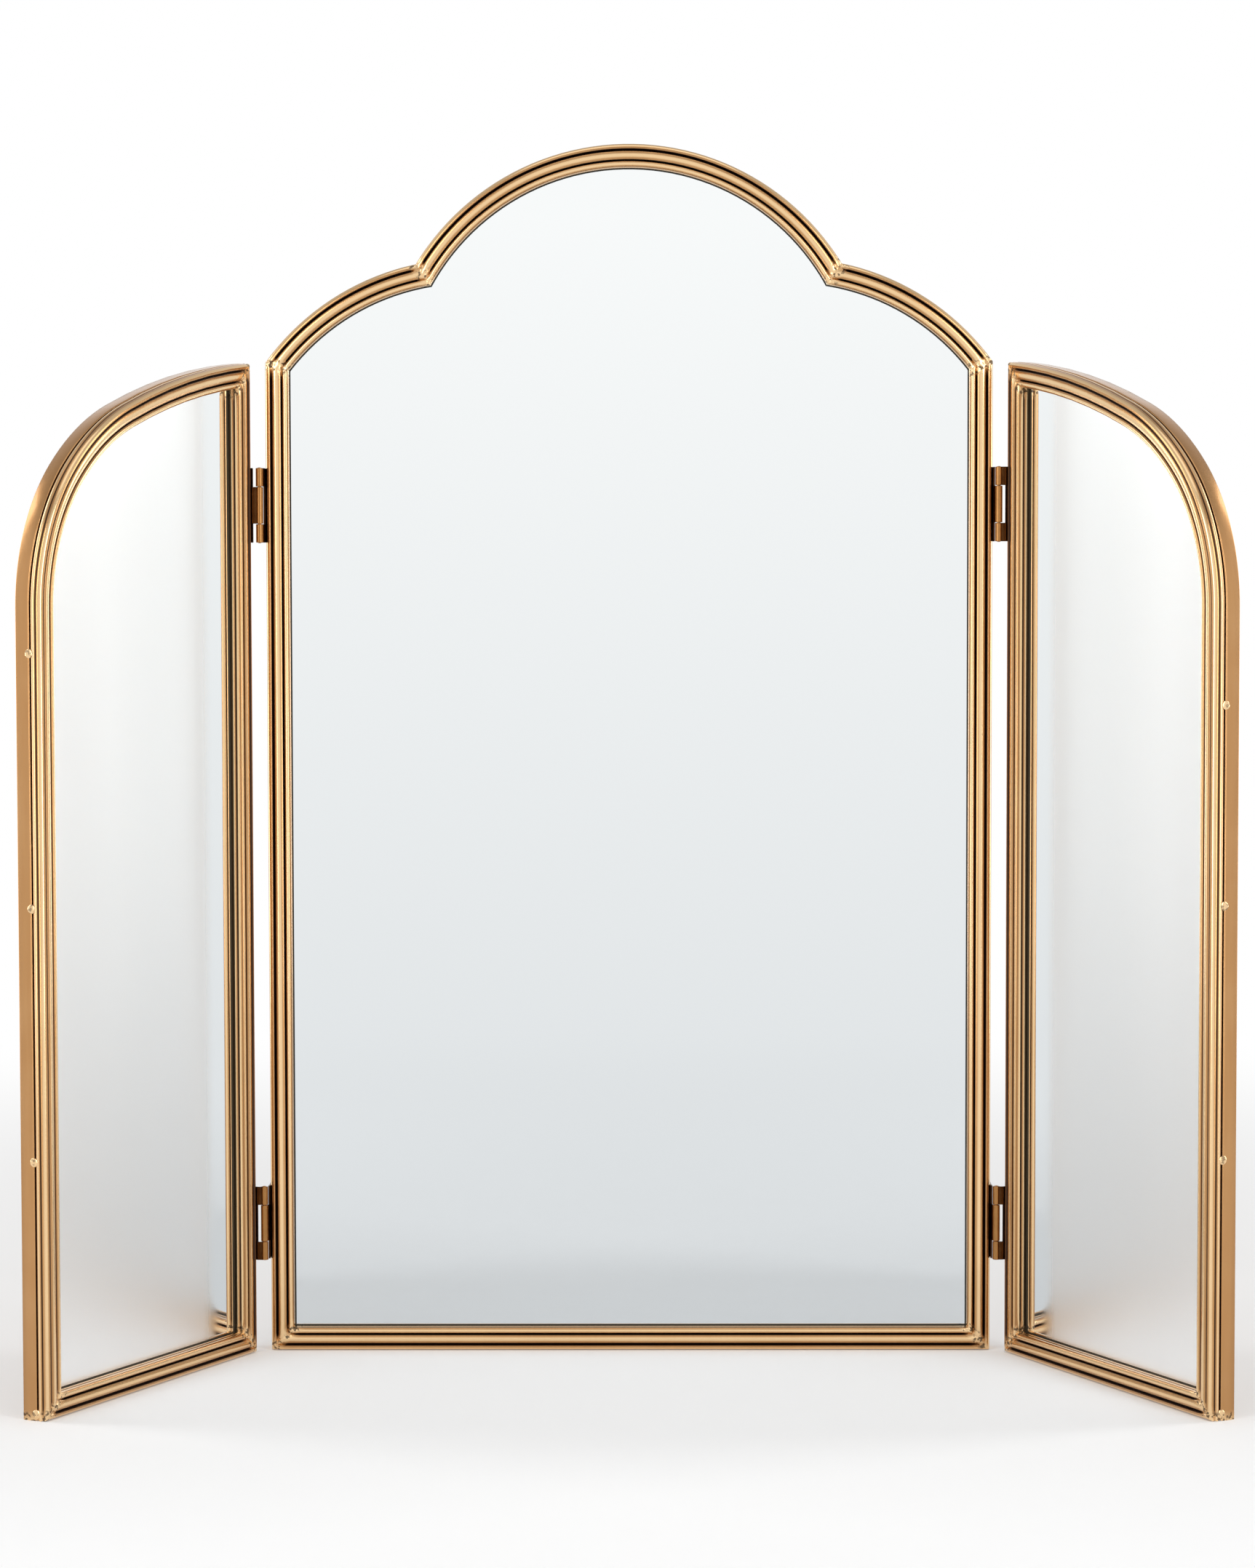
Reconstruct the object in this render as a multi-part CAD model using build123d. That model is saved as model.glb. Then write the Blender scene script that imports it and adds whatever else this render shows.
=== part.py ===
from build123d import *
import os
from math import asin, atan2, cos, degrees, radians, sin, sqrt

# Folding dressing table mirror: an arched centre panel with a hinged wing on each side.
# Millimetres, +Z up, and the mirrors face -Y. The origin is the middle of the flat
# underside of the centre panel's bottom rail.

# Centre panel outline
CENTRE_WIDTH = 460.0
CENTRE_HEIGHT = 767.0
SHOULDER_HEIGHT = 630.0
CROWN_HALF_CHORD = 134.5
BEND_RADIUS = 158.0

# Wing outline: the outer rail's bends are pairs of radius and turn in degrees
WING_WIDTH = 227.0
WING_BEND_HEIGHT = 477.0
WING_BENDS = ((120.0, 45.0), (160.0, 24.5))
WING_TOP_RADIUS = 520.0

# Rolled section of the frame
FACE = 15.0
DEPTH = 18.0
SEAT_DEPTH = 8.1
REBATE = 9.0
BAND_EDGE = 9.0
SHEET = 0.9
MITRE_ALLOWANCE = 8.0

# Mirror glass, backing board and the tabs that hold them
GLASS_THICKNESS = 3.0
BOARD_THICKNESS = 3.0
GLASS_INSET = 9.7
TAB_WIDTH = 10.0
TAB_THICKNESS = 1.0
TAB_FOOT = 6.5
TAB_REACH = 8.0
TAB_WALL_GAP = 0.2
STILE_TAB_LEVELS = (90.0, 300.0, 510.0)
RAIL_TAB_X = 120.0
CROWN_TAB_HEADING = 30.0

# Hinges
HINGE_LEVELS = {"upper": 540.0, "lower": 83.0}
HINGE_HEIGHT = 47.0
END_KNUCKLE = 11.8
KNUCKLE_GAP = 0.3
KNUCKLE_RADIUS = 2.35
PIN_RADIUS = 1.1
PIN_CLEARANCE = 0.05
PIN_END = 0.4
PIN_FORWARD = 2.5
PIN_SIDE = 3.3
LEAF = 1.1
LEAF_START = 3.3
LEAF_END = 20.5
LEAF_JOGGLE = (0.9, 2.7)
REST_ANGLE = 63.0

FRONT_Y = -(BAND_EDGE + DEPTH) / 2
HALF_WIDTH = CENTRE_WIDTH / 2
HINGE_X = HALF_WIDTH + PIN_SIDE
HINGE_Y = FRONT_Y - PIN_FORWARD
WING_NEAR_X = HINGE_X + PIN_SIDE
WING_FAR_X = WING_NEAR_X + WING_WIDTH
LEFT_HINGE_AXIS = Axis((-HINGE_X, HINGE_Y, 0), (0, 0, 1))


def rolled_section():
    """Return the frame's section: X runs inward from the outer side, Y back from the front."""
    back = ((0, BAND_EDGE), (0, DEPTH), (REBATE, DEPTH), (REBATE, SEAT_DEPTH))
    inner_rib = ((FACE, SEAT_DEPTH), (FACE, 1.5), (14.0, 0.2), (12.1, 0.2), (11.3, 0.9))
    broad_rib = ((10.2, 0.6), (9.0, 0), (6.0, 0), (4.8, 0.6))
    corner_rib = ((3.5, 0.25), (0.9, 0.9), (0.25, 3.5))
    side_rib = ((0, 4.4), (0, 7.2))
    grooves = ((10.7, 2.1), (4.2, 1.9), (1.4, 3.9), (1.6, 7.9))
    outline = Polyline(
        *back,
        *inner_rib,
        grooves[0],
        *broad_rib,
        grooves[1],
        *corner_rib,
        grooves[2],
        *side_rib,
        grooves[3],
        close=True,
    )
    cavity = Polyline(
        (SHEET, 12.5),
        (SHEET, DEPTH - SHEET),
        (REBATE - SHEET, DEPTH - SHEET),
        (REBATE - SHEET, 3.0),
        (3.0, 3.0),
        close=True,
    )
    return make_face(outline) - make_face(cavity)


SECTION = rolled_section()


def heading_vector(heading):
    """Return the unit vector in the panel's plane at a heading in degrees from +X to +Z."""
    return Vector(cos(radians(heading)), 0, sin(radians(heading)))


def section_plane(point, heading):
    """Return the plane square to a frame length that runs clockwise seen from the front."""
    origin = (point.X, FRONT_Y, point.Z)
    return Plane(origin=origin, x_dir=heading_vector(heading - 90), z_dir=heading_vector(heading))


def straight_run(start, end):
    """Return a straight run of the section with an allowance past both ends."""
    along = (end - start).normalized()
    heading = degrees(atan2(along.Z, along.X))
    first = start - along * MITRE_ALLOWANCE
    length = (end - start).length + 2 * MITRE_ALLOWANCE
    return extrude(section_plane(first, heading) * SECTION, amount=length, dir=along)


def bend_point(centre, radius, heading):
    """Return the outer point of a clockwise bend where it has the given heading."""
    return centre + heading_vector(heading + 90) * radius


def bend_run(centre, radius, heading, turn):
    """Return a clockwise bend of the section that starts at a heading and turns by an angle."""
    plane = section_plane(bend_point(centre, radius, heading), heading)
    return revolve(plane * SECTION, Axis(centre, (0, 1, 0)), turn)


def mitre(run, corner, headings, keep):
    """Cut a run square to the mean of the two headings that meet at a corner."""
    plane = Plane(origin=corner, z_dir=heading_vector(sum(headings) / 2))
    return split(run, bisect_by=plane, keep=keep)


def mitred(run, start, start_headings, end, end_headings):
    """Cut both ends of a run at its corners."""
    return mitre(mitre(run, start, start_headings, Keep.TOP), end, end_headings, Keep.BOTTOM)


class CentreOutline:
    """Corners and headings of the centre panel's outline, clockwise from the bottom left."""

    def __init__(self):
        self.crown_centre = Vector(0, 0, CENTRE_HEIGHT - BEND_RADIUS)
        notch_rise = sqrt(BEND_RADIUS**2 - CROWN_HALF_CHORD**2)
        self.bottom = Vector(-HALF_WIDTH, 0, 0)
        self.shoulder = Vector(-HALF_WIDTH, 0, SHOULDER_HEIGHT)
        self.notch = Vector(-CROWN_HALF_CHORD, 0, self.crown_centre.Z + notch_rise)
        chord = self.notch - self.shoulder
        chord_heading = degrees(atan2(chord.Z, chord.X))
        half_turn = degrees(asin(chord.length / 2 / BEND_RADIUS))
        self.shoulder_heading = chord_heading + half_turn
        self.notch_heading = chord_heading - half_turn
        self.crown_heading = degrees(asin(CROWN_HALF_CHORD / BEND_RADIUS))
        self.shoulder_centre = self.shoulder - heading_vector(self.shoulder_heading + 90) * BEND_RADIUS


CENTRE = CentreOutline()


class WingOutline:
    """Corners and bends of the left wing's outline as it lies flat beside the centre panel."""

    def __init__(self):
        self.outer_bottom = Vector(-WING_FAR_X, 0, 0)
        self.near_bottom = Vector(-WING_NEAR_X, 0, 0)
        point = Vector(-WING_FAR_X, 0, WING_BEND_HEIGHT)
        self.bend_start = point
        heading = 90.0
        self.bends = []
        for radius, turn in WING_BENDS:
            centre = point - heading_vector(heading + 90) * radius
            self.bends.append((centre, radius, heading, turn))
            heading = heading - turn
            point = bend_point(centre, radius, heading)
        centre = point - heading_vector(heading + 90) * WING_TOP_RADIUS
        self.top_heading = degrees(asin((centre.X + WING_NEAR_X) / WING_TOP_RADIUS))
        self.bends.append((centre, WING_TOP_RADIUS, heading, heading - self.top_heading))
        self.near_top = bend_point(centre, WING_TOP_RADIUS, self.top_heading)


WING = WingOutline()


def mirrored(shape):
    """Return the right-hand twin of a left-hand shape."""
    return mirror(shape, about=Plane.YZ)


def centre_stile():
    """Return the left stile of the centre panel."""
    run = straight_run(CENTRE.bottom, CENTRE.shoulder)
    return mitred(run, CENTRE.bottom, (180, 90), CENTRE.shoulder, (90, CENTRE.shoulder_heading))


def centre_bottom_rail():
    """Return the bottom rail of the centre panel."""
    right_bottom = Vector(HALF_WIDTH, 0, 0)
    run = straight_run(right_bottom, CENTRE.bottom)
    return mitred(run, right_bottom, (270, 180), CENTRE.bottom, (180, 90))


def centre_shoulder():
    """Return the left shoulder, bent between the stile and the notch."""
    spare = degrees(MITRE_ALLOWANCE / BEND_RADIUS)
    turn = CENTRE.shoulder_heading - CENTRE.notch_heading + 2 * spare
    run = bend_run(CENTRE.shoulder_centre, BEND_RADIUS, CENTRE.shoulder_heading + spare, turn)
    notch_headings = (CENTRE.notch_heading, CENTRE.crown_heading)
    return mitred(run, CENTRE.shoulder, (90, CENTRE.shoulder_heading), CENTRE.notch, notch_headings)


def centre_crown():
    """Return the crown, bent between the two notches."""
    spare = degrees(MITRE_ALLOWANCE / BEND_RADIUS)
    turn = 2 * CENTRE.crown_heading + 2 * spare
    run = bend_run(CENTRE.crown_centre, BEND_RADIUS, CENTRE.crown_heading + spare, turn)
    left = (CENTRE.notch_heading, CENTRE.crown_heading)
    right = (-CENTRE.crown_heading, -CENTRE.notch_heading)
    right_notch = Vector(CROWN_HALF_CHORD, 0, CENTRE.notch.Z)
    return mitred(run, CENTRE.notch, left, right_notch, right)


def wing_hinge_post():
    """Return the post of the left wing that carries its hinges."""
    run = straight_run(WING.near_top, WING.near_bottom)
    return mitred(run, WING.near_top, (WING.top_heading, -90), WING.near_bottom, (270, 180))


def wing_bottom_rail():
    """Return the bottom rail of the left wing."""
    run = straight_run(WING.near_bottom, WING.outer_bottom)
    return mitred(run, WING.near_bottom, (270, 180), WING.outer_bottom, (180, 90))


def wing_outer_rail():
    """Return the left wing's outer rail: a stile and an arch bent from one length."""
    stile = straight_run(WING.outer_bottom, WING.bend_start)
    stile = mitre(stile, WING.outer_bottom, (180, 90), Keep.TOP)
    rail = mitre(stile, WING.bend_start, (90, 90), Keep.BOTTOM)
    for bend in WING.bends[:-1]:
        rail = rail + bend_run(*bend)
    centre, radius, heading, turn = WING.bends[-1]
    top = bend_run(centre, radius, heading, turn + degrees(MITRE_ALLOWANCE / radius))
    return rail + mitre(top, WING.near_top, (WING.top_heading, -90), Keep.BOTTOM)


def arc_edge(centre, radius, heading, turn):
    """Return a clockwise arc of an outline as a 2-D edge in X and Z."""
    points = [bend_point(centre, radius, heading - turn * part) for part in (0, 0.5, 1)]
    return ThreePointArc(*[(point.X, point.Z) for point in points])


def centre_outline_face():
    """Return the centre panel's outline as a 2-D face in X and Z."""
    shoulder_turn = CENTRE.shoulder_heading - CENTRE.notch_heading
    left = arc_edge(CENTRE.shoulder_centre, BEND_RADIUS, CENTRE.shoulder_heading, shoulder_turn)
    crown = arc_edge(CENTRE.crown_centre, BEND_RADIUS, CENTRE.crown_heading, 2 * CENTRE.crown_heading)
    right = mirror(left, about=Plane.YZ)
    sides = Polyline(
        (-HALF_WIDTH, SHOULDER_HEIGHT),
        (-HALF_WIDTH, 0),
        (HALF_WIDTH, 0),
        (HALF_WIDTH, SHOULDER_HEIGHT),
    )
    return make_face([sides, left, crown, right])


def wing_outline_face():
    """Return the left wing's outline as a 2-D face in X and Z."""
    arch = [arc_edge(*bend) for bend in WING.bends]
    sides = Polyline(
        (-WING_NEAR_X, WING.near_top.Z),
        (-WING_NEAR_X, 0),
        (-WING_FAR_X, 0),
        (-WING_FAR_X, WING_BEND_HEIGHT),
    )
    return make_face([sides, *arch])


def pane(outline, depth, thickness):
    """Return a sheet inside the rebate, with its front at a depth behind the frame's front."""
    inner = offset(outline, -GLASS_INSET, kind=Kind.INTERSECTION)
    sheet = extrude(Plane.XZ * inner, amount=thickness, dir=(0, 1, 0))
    return Pos(0, FRONT_Y + depth, 0) * sheet


def mirror_glass(outline):
    """Return the mirror glass that lies on the rebate's seat."""
    return pane(outline, SEAT_DEPTH, GLASS_THICKNESS)


def backing_board(outline):
    """Return the board behind the glass."""
    return pane(outline, SEAT_DEPTH + GLASS_THICKNESS, BOARD_THICKNESS)


def tab(point, heading):
    """Return a strip bent from the rear flange down over the board, at a point of the outline."""
    board_back = SEAT_DEPTH + GLASS_THICKNESS + BOARD_THICKNESS
    wall = REBATE + TAB_WALL_GAP
    strip = Polyline(
        (wall - TAB_FOOT, DEPTH),
        (wall - TAB_FOOT, DEPTH + TAB_THICKNESS),
        (wall + TAB_THICKNESS, DEPTH + TAB_THICKNESS),
        (wall + TAB_THICKNESS, board_back + TAB_THICKNESS),
        (wall + TAB_REACH, board_back + TAB_THICKNESS),
        (wall + TAB_REACH, board_back),
        (wall, board_back),
        (wall, DEPTH),
        close=True,
    )
    along = heading_vector(heading)
    first = point - along * TAB_WIDTH / 2
    return extrude(section_plane(first, heading) * make_face(strip), amount=TAB_WIDTH, dir=along)


def centre_tabs():
    """Return the tabs round the back of the centre panel."""
    left = [tab(Vector(-HALF_WIDTH, 0, level), 90) for level in STILE_TAB_LEVELS]
    shoulder_heading = (CENTRE.shoulder_heading + CENTRE.notch_heading) / 2
    shoulder_point = bend_point(CENTRE.shoulder_centre, BEND_RADIUS, shoulder_heading)
    left.append(tab(shoulder_point, shoulder_heading))
    crown_point = bend_point(CENTRE.crown_centre, BEND_RADIUS, CROWN_TAB_HEADING)
    left.append(tab(crown_point, CROWN_TAB_HEADING))
    left.append(tab(Vector(-RAIL_TAB_X, 0, 0), 180))
    return Compound(children=left + [mirrored(item) for item in left])


def wing_tabs():
    """Return the tabs round the back of the left wing."""
    tabs = [tab(Vector(-WING_NEAR_X, 0, level), -90) for level in STILE_TAB_LEVELS]
    tabs += [tab(Vector(-WING_FAR_X, 0, level), 90) for level in STILE_TAB_LEVELS[:2]]
    for centre, radius, heading, turn in WING.bends[::2]:
        middle = heading - turn / 2
        tabs.append(tab(bend_point(centre, radius, middle), middle))
    tabs.append(tab(Vector(-(WING_NEAR_X + WING_FAR_X) / 2, 0, 0), 180))
    return Compound(children=tabs)


def knuckle(low, high, bore):
    """Return one knuckle round the left hinge axis with the joggled strip behind it."""
    near, far = LEAF_JOGGLE
    curl = KNUCKLE_RADIUS - LEAF
    wall = PIN_SIDE - LEAF
    strip = Polyline(
        (curl, 0),
        (KNUCKLE_RADIUS, 0),
        (KNUCKLE_RADIUS, near),
        (PIN_SIDE, far),
        (PIN_SIDE, LEAF_START),
        (wall, LEAF_START),
        (wall, far),
        (curl, near),
        close=True,
    )
    profile = Circle(KNUCKLE_RADIUS) + make_face(strip) - Circle(bore)
    return Pos(-HINGE_X, HINGE_Y, low) * extrude(profile, amount=high - low)


def knuckle_spans(level, holds_middle):
    """Return the low and high ends of the knuckles that one leaf holds."""
    low = level - HINGE_HEIGHT / 2
    high = level + HINGE_HEIGHT / 2
    if holds_middle:
        return [(low + END_KNUCKLE + KNUCKLE_GAP / 2, high - END_KNUCKLE - KNUCKLE_GAP / 2)]
    reach = END_KNUCKLE - KNUCKLE_GAP / 2
    return [(low, low + reach), (high - reach, high)]


def hinge_leaf(level, holds_middle, bore):
    """Return the leaf on the centre panel's left wall, with one middle or two end knuckles."""
    corner = (-HALF_WIDTH - LEAF, HINGE_Y + LEAF_START, level - HINGE_HEIGHT / 2)
    plate = Box(LEAF, LEAF_END - LEAF_START, HINGE_HEIGHT, align=(Align.MIN, Align.MIN, Align.MIN))
    leaf = Pos(*corner) * plate
    for low, high in knuckle_spans(level, holds_middle):
        leaf = leaf + knuckle(low, high, bore)
    return leaf


def hinge_pin(level):
    """Return the pin of a left hinge, a little longer than the knuckles at each end."""
    length = HINGE_HEIGHT + 2 * PIN_END
    return Pos(-HINGE_X, HINGE_Y, level) * Cylinder(PIN_RADIUS, length)


def turned(shape):
    """Return a flat left wing shape turned forward about its hinge to the rest pose."""
    return shape.rotate(LEFT_HINGE_AXIS, REST_ANGLE)


def left_hinges(upper_reversed):
    """Return the centre leaves, wing leaves and pins of two left hinges, with the wing at rest.

    The pins turn with the wing, tight in its knuckles and running in the centre panel's.
    """
    facing = Plane(origin=(-HINGE_X, 0, 0), z_dir=(1, 0, 0))
    pieces = {"centre_leaves": [], "wing_leaves": [], "pins": []}
    for place, level in HINGE_LEVELS.items():
        wing_middle = upper_reversed and place == "upper"
        pieces["centre_leaves"].append(hinge_leaf(level, not wing_middle, PIN_RADIUS + PIN_CLEARANCE))
        wing_leaf = mirror(hinge_leaf(level, wing_middle, PIN_RADIUS), about=facing)
        pieces["wing_leaves"].append(turned(wing_leaf))
        pieces["pins"].append(hinge_pin(level))
    return {name: Compound(children=group) for name, group in pieces.items()}


def left_wing():
    """Return the pieces of the left wing by name, turned to the rest pose."""
    outline = wing_outline_face()
    pieces = {
        "hinge_post": wing_hinge_post(),
        "outer_rail": wing_outer_rail(),
        "bottom_rail": wing_bottom_rail(),
        "mirror_glass": mirror_glass(outline),
        "backing_board": backing_board(outline),
        "retaining_tabs": wing_tabs(),
    }
    return {name: turned(piece) for name, piece in pieces.items()}


def centre_panel():
    """Return the pieces of the centre panel by name."""
    outline = centre_outline_face()
    stile = centre_stile()
    shoulder = centre_shoulder()
    return {
        "centre_left_stile": stile,
        "centre_right_stile": mirrored(stile),
        "centre_bottom_rail": centre_bottom_rail(),
        "centre_shoulders": Compound(children=[shoulder, mirrored(shoulder)]),
        "centre_crown": centre_crown(),
        "centre_mirror_glass": mirror_glass(outline),
        "centre_backing_board": backing_board(outline),
        "centre_retaining_tabs": centre_tabs(),
    }


def mirror_nodes():
    """Return every piece of the mirror by its node name."""
    nodes = centre_panel()
    for name, piece in left_wing().items():
        nodes["left_wing_" + name] = piece
        nodes["right_wing_" + name] = mirrored(piece)
    for name, piece in left_hinges(upper_reversed=True).items():
        nodes["left_hinge_" + name] = piece
    for name, piece in left_hinges(upper_reversed=False).items():
        nodes["right_hinge_" + name] = mirrored(piece)
    return nodes


os.makedirs("parts", exist_ok=True)
for node_name, node in mirror_nodes().items():
    export_step(node, f"parts/{node_name}.step")
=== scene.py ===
import random
from math import acos, asin, atan2, cos, hypot, pi, radians, sin, sqrt

import bpy
from bpy.props import FloatProperty, FloatVectorProperty, PointerProperty
from bpy.types import Operator, Panel, PropertyGroup
from mathutils import Matrix, Vector, noise


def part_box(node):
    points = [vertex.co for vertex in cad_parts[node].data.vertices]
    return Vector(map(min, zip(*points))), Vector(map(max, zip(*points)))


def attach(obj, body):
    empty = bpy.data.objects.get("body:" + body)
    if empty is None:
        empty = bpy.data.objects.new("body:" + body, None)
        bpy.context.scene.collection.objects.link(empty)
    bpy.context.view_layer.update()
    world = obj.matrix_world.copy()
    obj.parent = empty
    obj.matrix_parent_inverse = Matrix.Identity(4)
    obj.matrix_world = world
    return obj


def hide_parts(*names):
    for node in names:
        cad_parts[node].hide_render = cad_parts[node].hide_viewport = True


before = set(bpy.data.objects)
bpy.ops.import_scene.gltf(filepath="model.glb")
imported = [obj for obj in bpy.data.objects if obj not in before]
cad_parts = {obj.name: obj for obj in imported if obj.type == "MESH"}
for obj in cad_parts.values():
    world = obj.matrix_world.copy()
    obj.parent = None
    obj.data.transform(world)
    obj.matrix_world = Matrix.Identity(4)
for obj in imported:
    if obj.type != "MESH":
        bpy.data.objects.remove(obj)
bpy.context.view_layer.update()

bl_info = {
    "name": "Folding dressing table mirror",
    "version": (1, 0, 0),
    "blender": (4, 5, 0),
    "location": "3D View > Sidebar > Mirror",
    "description": "Dresses the arched three-panel mirror: rolled gold frame, glass, hinges and stage",
    "category": "Object",
}

MM = 0.001
RAIL_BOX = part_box("centre_bottom_rail")
CROWN_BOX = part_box("centre_crown")

# Ribs of the rolled section from the glass seat round the front to the seam, in
# millimetres inward from the outer side and back from the front: start, end, rise
WALL_RIBS = (((14.6, 8.1), (14.6, 5.0), 0.4), ((14.6, 4.4), (14.6, 1.2), 0.4))
INNER_RIB = ((14.6, 1.2), (11.2, 1.0), 0.9)
BROAD_RIB = ((10.1, 0.75), (4.9, 0.75), 0.7)
CORNER_RIB = ((3.4, 0.25), (0.25, 3.4), 0.9)
SIDE_RIB = ((0.5, 4.4), (0.5, 7.2), 0.45)
RIB_STEPS = 9

# Spacing of the rings swept along a length: close to its mitres, round bends and on straights
CLOSE_RINGS = (0.0006, 0.0013, 0.0021, 0.003, 0.0042, 0.006, 0.009)
BEND_STEP = radians(2.4)
RING_SPACING = 0.07
LATHE_STEPS = 36
SHARP_ANGLE = radians(34.0)


class FrameSizes(PropertyGroup):
    """Sizes of the three panels and of the rolled frame round them."""

    width: FloatProperty(
        name="Centre width",
        description="Width of the centre panel over its frame",
        default=RAIL_BOX[1][0] - RAIL_BOX[0][0],
        unit="LENGTH",
    )
    height: FloatProperty(
        name="Centre height",
        description="Height of the crown above the table",
        default=CROWN_BOX[1][2],
        unit="LENGTH",
    )
    shoulder_height: FloatProperty(
        name="Shoulder height",
        description="Height at which the centre stiles meet the shoulders",
        default=0.630,
        unit="LENGTH",
    )
    crown_half_chord: FloatProperty(
        name="Half crown",
        description="Distance of each notch from the middle",
        default=0.1345,
        unit="LENGTH",
    )
    bend_radius: FloatProperty(
        name="Bend radius",
        description="Outer radius of the crown and the shoulders",
        default=0.158,
        unit="LENGTH",
    )
    wing_width: FloatProperty(
        name="Wing width",
        description="Width of each wing over its frame",
        default=0.227,
        unit="LENGTH",
    )
    wing_stile: FloatProperty(
        name="Wing stile",
        description="Height at which a wing's outer stile starts to bend",
        default=0.477,
        unit="LENGTH",
    )
    wing_top_radius: FloatProperty(
        name="Wing top radius",
        description="Radius of the long bend that ends at the hinge post",
        default=0.520,
        unit="LENGTH",
    )
    face: FloatProperty(
        name="Face",
        description="Width of the frame seen from the front",
        default=0.015,
        unit="LENGTH",
    )
    weld_reach: FloatProperty(
        name="Weld reach",
        description="Distance from a mitre over which solder fills the grooves",
        default=0.0060,
        unit="LENGTH",
    )
    rest_angle: FloatProperty(
        name="Wing angle",
        description="Angle by which each wing stands forward of flat",
        default=radians(63.0),
        unit="ROTATION",
    )


class HingeSizes(PropertyGroup):
    """Sizes of the four butt hinges and of the weld dots along the wings."""

    height: FloatProperty(
        name="Hinge height",
        description="Height of one hinge",
        default=0.047,
        unit="LENGTH",
    )
    knuckle_radius: FloatProperty(
        name="Knuckle radius",
        description="Outer radius of the rolled knuckles",
        default=0.00235,
        unit="LENGTH",
    )
    end_knuckle: FloatProperty(
        name="End knuckle",
        description="Length of each of the two end knuckles",
        default=0.0118,
        unit="LENGTH",
    )
    leaf: FloatProperty(
        name="Leaf",
        description="Thickness of the leaves",
        default=0.0011,
        unit="LENGTH",
    )
    pin_radius: FloatProperty(
        name="Pin radius",
        description="Radius of the hinge pins",
        default=0.0011,
        unit="LENGTH",
    )
    dot: FloatProperty(
        name="Weld dot",
        description="Diameter of the ground weld dots on the wings' outer seam",
        default=0.0053,
        unit="LENGTH",
    )


class GlassSizes(PropertyGroup):
    """Sizes of the mirror glass."""

    inset: FloatProperty(
        name="Inset",
        description="Distance of the glass edge inside the frame's outer side",
        default=0.0097,
        unit="LENGTH",
    )
    seat: FloatProperty(
        name="Seat",
        description="Depth of the glass behind the front of the frame",
        default=0.0081,
        unit="LENGTH",
    )
    thickness: FloatProperty(
        name="Thickness",
        description="Thickness of the glass",
        default=0.003,
        unit="LENGTH",
    )
    # Painted shade: the dark line stands in for the shadowed gap between the frame and the glass.
    edge_shade_width: FloatProperty(
        name="Dark edge",
        description="Width of the dark line where the glass meets the frame",
        default=0.0008,
        unit="LENGTH",
    )
    clear_reach: FloatProperty(
        name="Clear reach",
        description="Distance from the hinge line up to which a wing shows the post sharply",
        default=0.034,
        unit="LENGTH",
    )
    haze: FloatProperty(
        name="Haze",
        description="Roughness of the wing glass beyond the clear reach",
        default=0.32,
        subtype="FACTOR",
    )
    # Painted shade: beside a wing's hinge post the painted dark line is wider.
    post_shade_width: FloatProperty(
        name="Dark edge at the post",
        description="Width of the dark line beside a wing's hinge post",
        default=0.0030,
        unit="LENGTH",
    )


class Finishes(PropertyGroup):
    """Colours of the mirror's finishes, with the painted shade, highlight and reflection among them."""

    gold: FloatVectorProperty(
        name="Gold lacquer",
        description="Colour of the lacquer on the ribs",
        default=(0.47, 0.230, 0.078),
        subtype="COLOR",
        size=3,
    )
    # Painted shade: this colour darkens the grooves, the weld pits and the hinge leaves where shade falls.
    gold_for_painted_shade: FloatVectorProperty(
        name="Gold in the grooves",
        description="Colour of the lacquer where it lies thick in the grooves",
        default=(0.034, 0.011, 0.004),
        subtype="COLOR",
        size=3,
    )
    # Painted highlight on the crests and rolled edges; the welds are also mixed a little towards this pale
    # colour.
    highlight_and_weld_gold: FloatVectorProperty(
        name="Pale gold",
        description="Colour of the thin lacquer on crests and ground welds",
        default=(0.88, 0.61, 0.33),
        subtype="COLOR",
        size=3,
    )
    brass: FloatVectorProperty(
        name="Hinge gold",
        description="Colour of the plated hinges",
        default=(0.42, 0.205, 0.068),
        subtype="COLOR",
        size=3,
    )
    # Painted reflection: the glass is painted lighter at the top and greyer at the bottom, standing in for
    # the reflected studio.
    painted_reflection_top: FloatVectorProperty(
        name="Silvering, top",
        description="Tone of the mirror silvering at the top of the glass",
        default=(0.935, 0.955, 0.955),
        subtype="COLOR",
        size=3,
    )
    painted_reflection_bottom: FloatVectorProperty(
        name="Silvering, bottom",
        description="Tone of the mirror silvering at the bottom of the glass",
        default=(0.695, 0.727, 0.747),
        subtype="COLOR",
        size=3,
    )
    # Painted light: the wing glass is painted paler than the centre's, against the darkening that its haze
    # and its reflection of the centre glass bring.
    wing_silver: FloatProperty(
        name="Wing silvering",
        description="How much lighter the silvering of the wings is than the centre's",
        default=0.45,
        subtype="FACTOR",
    )
    # Painted shade: the near-black line round the glass stands in for the shadowed gap at the frame and
    # its reflection.
    glass_edge: FloatVectorProperty(
        name="Glass edge",
        description="Colour of the dark line round the glass",
        default=(0.012, 0.014, 0.012),
        subtype="COLOR",
        size=3,
    )
    board: FloatVectorProperty(
        name="Backing board",
        description="Colour of the pressed fibre board",
        default=(0.235, 0.135, 0.065),
        subtype="COLOR",
        size=3,
    )


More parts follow.
